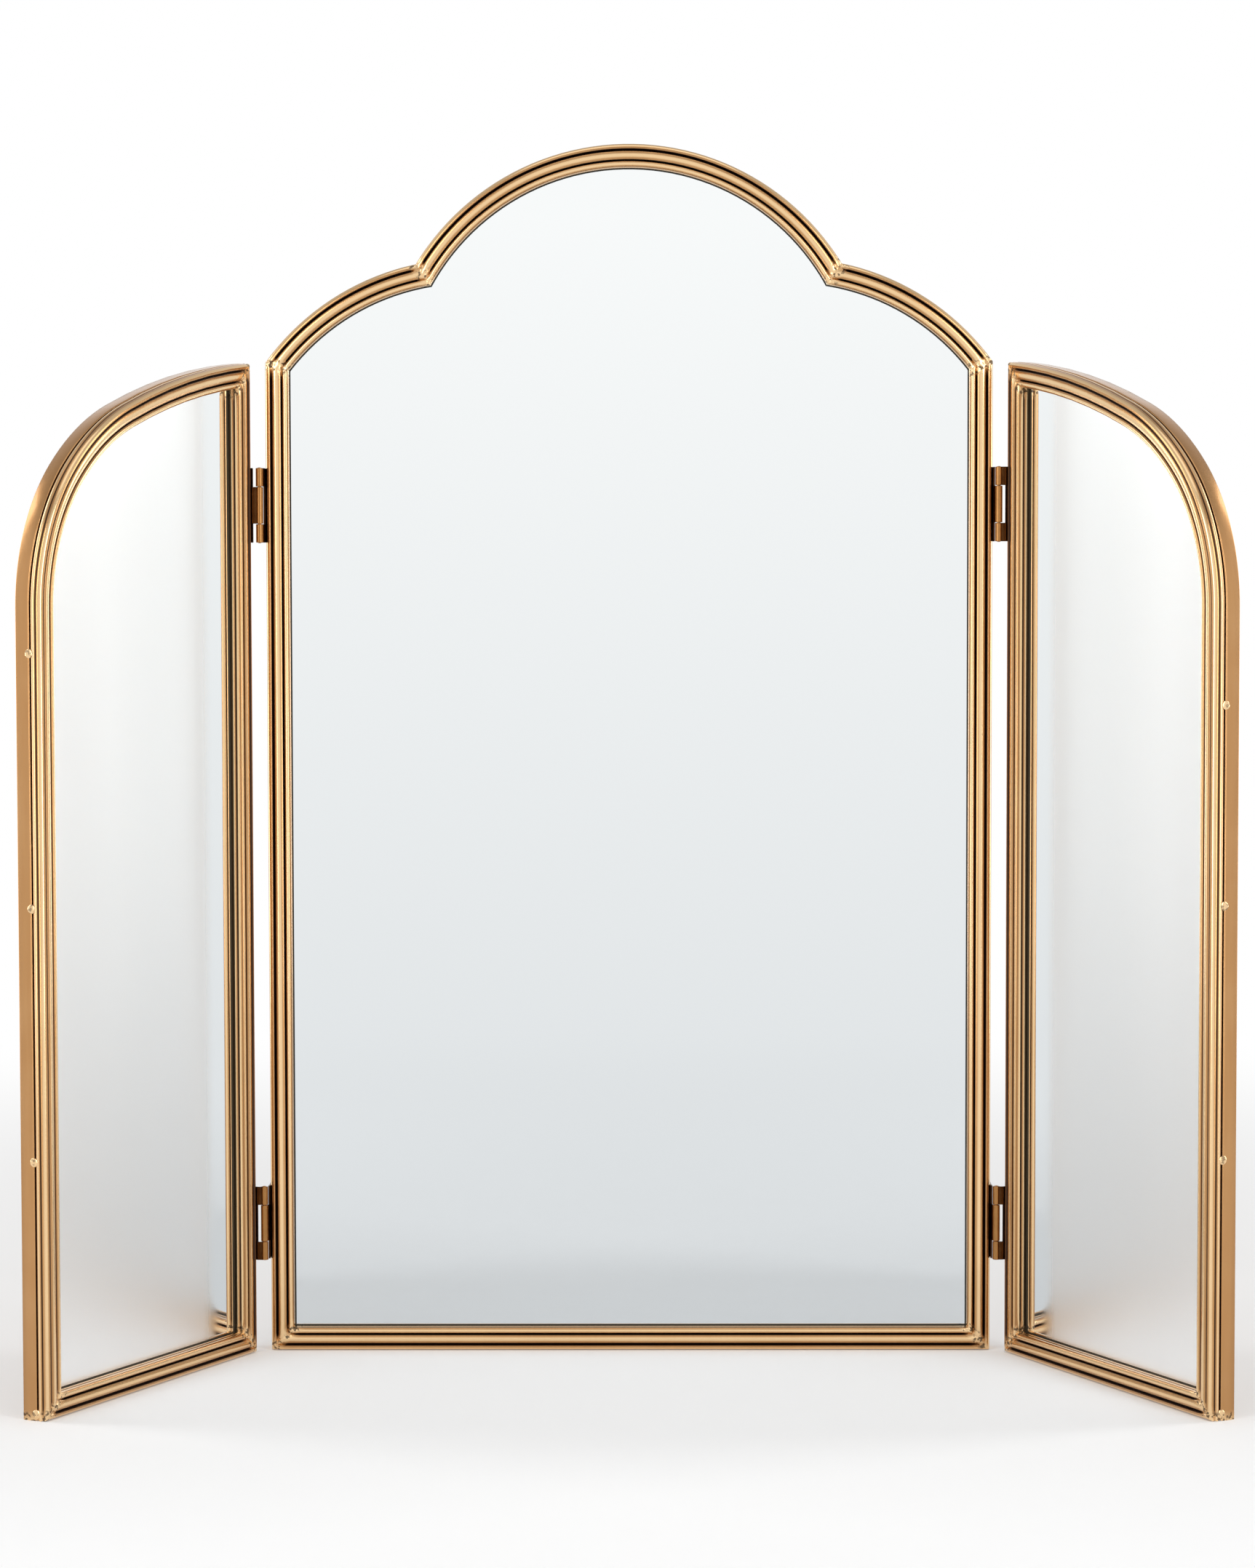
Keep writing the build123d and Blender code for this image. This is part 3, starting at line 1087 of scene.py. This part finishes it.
def hinge_pin(level):
    """Return a pin with softly headed ends."""
    sizes = bpy.context.scene.mirror_hinges
    radius = sizes.pin_radius
    reach = sizes.height / 2 + 0.4 * MM
    head = ((0.35, 0.0), (0.75, 0.08), (0.95, 0.2), (1.0, 0.38))
    low = [(radius * part, level - reach + drop * MM, 0.0) for part, drop in head]
    high = [(radius * part, level + reach - drop * MM, 0.0) for part, drop in reversed(head)]
    return lathed(low + high, False)


def weld_dot(seed):
    """Return a low, slightly uneven dome about the Z axis."""
    radius = bpy.context.scene.mirror_hinges.dot / 2
    profile = ((1.0, -1.2), (1.0, 0.02), (0.93, 0.2), (0.78, 0.32), (0.5, 0.4), (0.2, 0.43))
    # The dots get no painted shade, so they take the painted highlight of the crests.
    dome = lathed([(radius * part, rise * MM, 0.0) for part, rise in profile], False)
    uneven = random.Random(seed)
    shift = Vector((uneven.random(), uneven.random(), uneven.random())) * 40.0
    for index, point in enumerate(dome.points):
        swell = noise.noise(point * 700.0 + shift)
        dome.points[index] = Vector((point.x * (1 + 0.10 * swell), point.y * (1 + 0.10 * swell), point.z))
    dome.weld = [0.45] * len(dome.points)
    return dome


class MIRROR_OT_centre_frame(Operator):
    """Sweep the centre panel's stiles, rail, shoulders and crown"""

    bl_idname = "mirror.centre_frame"
    bl_label = "Centre frame"

    def execute(self, context):
        lengths = centre_lengths()
        gold = [gold_lacquer()]
        stile = swept(lengths["stile"])
        shoulder = swept(lengths["shoulder"])
        shapes = {
            "centre_left_stile": stile,
            "centre_right_stile": stile.moved(MIRRORED),
            "centre_bottom_rail": swept(lengths["rail"]),
            "centre_shoulders": shoulder.joined(shoulder.moved(MIRRORED)),
            "centre_crown": swept(lengths["crown"]),
        }
        for node, shape in shapes.items():
            shape.object("rolled_" + node, gold, "centre", "frame_gold", [node])
        return {"FINISHED"}


class MIRROR_OT_wing_frames(Operator):
    """Sweep the outer rail, bottom rail and hinge post of each wing"""

    bl_idname = "mirror.wing_frames"
    bl_label = "Wing frames"

    def execute(self, context):
        lengths = wing_lengths()
        forward = turned_forward()
        gold = [gold_lacquer()]
        pieces = {"outer_rail": "outer_rail", "bottom_rail": "rail", "hinge_post": "post"}
        for node, length in pieces.items():
            shape = swept(lengths[length]).moved(forward)
            for side, placed in (("left", shape), ("right", shape.moved(MIRRORED))):
                body = side + "_wing"
                placed.object(f"rolled_{body}_{node}", gold, body, "frame_gold", [f"{body}_{node}"])
        return {"FINISHED"}


class MIRROR_OT_glass(Operator):
    """Lay the silvered glass into the three panels"""

    bl_idname = "mirror.glass"
    bl_label = "Mirror glass"

    def execute(self, context):
        colours = finishes()
        haze = context.scene.mirror_glass.haze
        paints = [
            plain_paint("glass_edge", colours.glass_edge, 0.25),
            plain_paint("glass_back", colours.board, 0.6),
        ]
        fixed = [mirror_silver("mirror_silver", 0.0, 0.0), *paints]
        swinging = [mirror_silver("wing_silver", colours.wing_silver, haze), *paints]
        centre = glass(centre_lengths())
        wing = glass(wing_lengths()).moved(turned_forward())
        panes = {"centre": centre, "left_wing": wing, "right_wing": wing.moved(MIRRORED)}
        for body, shape in panes.items():
            node = body + "_mirror_glass"
            materials = fixed if body == "centre" else swinging
            shape.object("silvered_" + node, materials, body, "mirror_glass", [node])
        return {"FINISHED"}


class MIRROR_OT_backs(Operator):
    """Give the boards and the bent tabs on the back their finishes"""

    bl_idname = "mirror.backs"
    bl_label = "Boards and tabs"

    def execute(self, context):
        board = fibre_board()
        for body in ("centre", "left_wing", "right_wing"):
            # The tabs carry no shade values of their own, so the gold lacquer paints them with the pale
            # highlight of the crests all over.
            for node, material in (("backing_board", board), ("retaining_tabs", gold_lacquer())):
                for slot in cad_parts[f"{body}_{node}"].material_slots:
                    slot.material = material
        return {"FINISHED"}


class MIRROR_OT_hinges(Operator):
    """Build the four hinges with rolled knuckles, eased leaves and headed pins"""

    bl_idname = "mirror.hinges"
    bl_label = "Hinges"

    def execute(self, context):
        width = context.scene.mirror_frame.width
        hinge = Vector((-width / 2 - HINGE_SIDE, FRONT - HINGE_FORWARD, 0.0))
        placed = Matrix.Translation(hinge)
        opened = turned_forward() @ placed @ MIRRORED
        for side, upper_reversed in (("left", True), ("right", False)):
            shapes = {"centre_leaves": Shape(), "wing_leaves": Shape(), "pins": Shape()}
            for place, level in HINGE_LEVELS.items():
                wing_middle = upper_reversed and place == "upper"
                fixed = hinge_leaf(level, not wing_middle).moved(placed)
                swinging = hinge_leaf(level, wing_middle).moved(opened)
                pin = hinge_pin(level).moved(placed)
                shapes["centre_leaves"] = shapes["centre_leaves"].joined(fixed)
                shapes["wing_leaves"] = shapes["wing_leaves"].joined(swinging)
                shapes["pins"] = shapes["pins"].joined(pin)
            for name, shape in shapes.items():
                if side == "right":
                    shape = shape.moved(MIRRORED)
                node = f"{side}_hinge_{name}"
                body = "centre" if name == "centre_leaves" else side + "_wing"
                shape.object("dressed_" + node, [hinge_lacquer()], body, "hinge_gold", [node])
        return {"FINISHED"}


DOT_DEPTH = 8.4 * MM
DOT_LEVELS = {"left": (0.004, 0.153, 0.302, 0.451), "right": (0.004, 0.154, 0.303, 0.420)}


class MIRROR_OT_weld_dots(Operator):
    """Add the ground weld dots on the outer seam of each wing"""

    bl_idname = "mirror.weld_dots"
    bl_label = "Weld dots"

    def execute(self, context):
        far = -context.scene.mirror_frame.width / 2 - 2 * HINGE_SIDE
        far -= context.scene.mirror_frame.wing_width
        facing_out = Matrix.Rotation(-pi / 2, 4, "Y")
        for side, levels in DOT_LEVELS.items():
            shape = Shape()
            for seed, level in enumerate(levels):
                place = Matrix.Translation((far, FRONT + DOT_DEPTH, level))
                shape = shape.joined(weld_dot(seed).moved(place @ facing_out))
            shape = shape.moved(turned_forward())
            if side == "right":
                shape = shape.moved(MIRRORED)
            body = side + "_wing"
            shape.object(f"{body}_weld_dots", [gold_lacquer()], body, "frame_gold", [])
        return {"FINISHED"}


def bearing(turn, distance, height):
    """Return a place at an angle round the mirror from straight in front, positive to the right."""
    return (distance * sin(radians(turn)), -distance * cos(radians(turn)), height)


def softbox(name, place, target, size, power):
    """Add a rectangular lamp that faces a target."""
    lamp = bpy.data.lights.new(name, "AREA")
    lamp.shape = "RECTANGLE"
    lamp.size = size[0]
    lamp.size_y = size[1]
    lamp.energy = power
    made = bpy.data.objects.new(name, lamp)
    made.location = place
    made.rotation_euler = (Vector(target) - Vector(place)).to_track_quat("-Z", "Y").to_euler()
    bpy.context.scene.collection.objects.link(made)


def seen_directly(graph):
    """Return 1 for a ray from the camera or one mirrored or refracted, and 0 for soft light."""
    path = {}
    for name in ("Is Camera Ray", "Is Glossy Ray", "Is Transmission Ray"):
        path[name] = graph.node("ShaderNodeLightPath", output=name)
    both = path["Is Camera Ray"].math("MAXIMUM", path["Is Camera Ray"], path["Is Glossy Ray"])
    return both.math("MAXIMUM", both, path["Is Transmission Ray"])


def studio_floor():
    """Return the pale floor, which fades into the white background with distance."""
    material, graph = new_material("studio_floor")
    place = graph.place()
    far = graph.node("ShaderNodeVectorMath", {"operation": "LENGTH"}, {0: place}, output="Value")
    fade = graph.band(far, 0.35, 1.7)
    grain = graph.noise(place, 60.0, 2.0)
    paper = graph.node(
        "ShaderNodeBsdfPrincipled",
        sockets={
            "Base Color": graph.mix(grain, (0.84, 0.84, 0.84, 1.0), (0.86, 0.86, 0.86, 1.0)),
            "Roughness": 0.9,
            "Specular IOR Level": 0.1,
            "Emission Color": graph.mix(seen_directly(graph), (0.0, 0.0, 0.0, 1.0), (1.0, 1.0, 1.0, 1.0)),
            "Emission Strength": 0.16,
        },
    )
    white = graph.node("ShaderNodeEmission", sockets={"Color": (1.0, 1.0, 1.0, 1.0), "Strength": 1.0})
    factor = fade * seen_directly(graph)
    graph.output(graph.node("ShaderNodeMixShader", sockets={0: factor, 1: paper, 2: white}))
    return material


def studio_world():
    """Set a world that lights softly and is white behind the object and in its reflections."""
    world = bpy.data.worlds.new("studio")
    world.use_nodes = True
    graph = Graph(world.node_tree)
    way = graph.node("ShaderNodeTexCoord", output="Generated")
    height = graph.node("ShaderNodeSeparateXYZ", sockets={"Vector": way}, output="Z")
    ceiling = graph.band(height, 0.3, 0.9)
    strength = 0.5 + (0.5 - 0.45 * ceiling) * seen_directly(graph)
    colour = (1.0, 1.0, 1.0, 1.0)
    light = graph.node("ShaderNodeBackground", sockets={"Color": colour, "Strength": strength})
    graph.output(light, "ShaderNodeOutputWorld")
    bpy.context.scene.world = world


# Standing lamps: name, bearing, width and the studio setting that holds the power
LAMPS = (
    ("left_front_box", -36, 0.34, "front_power"),
    ("right_front_box", 38, 0.30, "front_power"),
    ("left_side_box", -96, 0.6, "side_power"),
    ("right_side_box", 98, 0.5, "side_power"),
)
LAMP_DISTANCE = 1.7
LAMP_HEIGHT = 0.8
LAMP_TALL = 1.6
LAMP_TARGET = (0.0, -0.05, 0.4)
TOP_LAMP_PLACE = (0.0, -0.6, 2.3)
TOP_LAMP_SIZE = (1.6, 1.2)
FLOOR_REACH = 9.0


class MIRROR_OT_stage(Operator):
    """Lay the pale floor and set the soft lamps, the white background and the camera"""

    bl_idname = "mirror.stage"
    bl_label = "Stage"

    def execute(self, context):
        studio = context.scene.mirror_studio
        mesh = bpy.data.meshes.new("floor")
        reach = FLOOR_REACH
        corners = [(-reach, -reach, 0.0), (reach, -reach, 0.0), (reach, reach, 0.0), (-reach, reach, 0.0)]
        mesh.from_pydata(corners, [], [(0, 1, 2, 3)])
        mesh.materials.append(studio_floor())
        floor = bpy.data.objects.new("floor", mesh)
        context.scene.collection.objects.link(floor)
        for name, turn, width, power in LAMPS:
            place = bearing(turn, LAMP_DISTANCE, LAMP_HEIGHT)
            softbox(name, place, LAMP_TARGET, (width, LAMP_TALL), getattr(studio, power))
        softbox("top_box", TOP_LAMP_PLACE, LAMP_TARGET, TOP_LAMP_SIZE, studio.top_power)
        studio_world()
        camera = bpy.data.cameras.new("camera")
        camera.sensor_fit = "VERTICAL"
        camera.sensor_height = 36.0
        camera.lens = studio.lens
        camera.clip_end = 50.0
        made = bpy.data.objects.new("camera", camera)
        made.location = studio.camera_place
        tilt, roll, turn = studio.camera_tilt
        upright = Matrix.Rotation(turn, 4, "Z") @ Matrix.Rotation(pi / 2 - tilt, 4, "X")
        made.rotation_euler = (upright @ Matrix.Rotation(roll, 4, "Z")).to_euler()
        context.scene.collection.objects.link(made)
        context.scene.camera = made
        context.scene.view_settings.view_transform = "Standard"
        return {"FINISHED"}


PIECES = (
    MIRROR_OT_centre_frame,
    MIRROR_OT_wing_frames,
    MIRROR_OT_glass,
    MIRROR_OT_backs,
    MIRROR_OT_hinges,
    MIRROR_OT_weld_dots,
    MIRROR_OT_stage,
)


class MIRROR_PT_pieces(Panel):
    """List the pieces of the mirror and their sizes"""

    bl_label = "Dressing table mirror"
    bl_space_type = "VIEW_3D"
    bl_region_type = "UI"
    bl_category = "Mirror"

    def draw(self, context):
        for piece in PIECES:
            self.layout.operator(piece.bl_idname)
        for name in SETTINGS:
            box = self.layout.box()
            group = getattr(context.scene, name)
            for field in group.__annotations__:
                box.prop(group, field)


SETTINGS = {
    "mirror_frame": FrameSizes,
    "mirror_hinges": HingeSizes,
    "mirror_glass": GlassSizes,
    "mirror_finishes": Finishes,
    "mirror_studio": StudioSettings,
}
CLASSES = (*SETTINGS.values(), *PIECES, MIRROR_PT_pieces)


def register():
    for item in CLASSES:
        bpy.utils.register_class(item)
    for name, group in SETTINGS.items():
        setattr(bpy.types.Scene, name, PointerProperty(type=group))


def unregister():
    for name in SETTINGS:
        delattr(bpy.types.Scene, name)
    for item in reversed(CLASSES):
        bpy.utils.unregister_class(item)


def main():
    """Build every piece."""
    register()
    for piece in PIECES:
        group, action = piece.bl_idname.split(".")
        getattr(getattr(bpy.ops, group), action)()


if __name__ == "__main__":
    main()
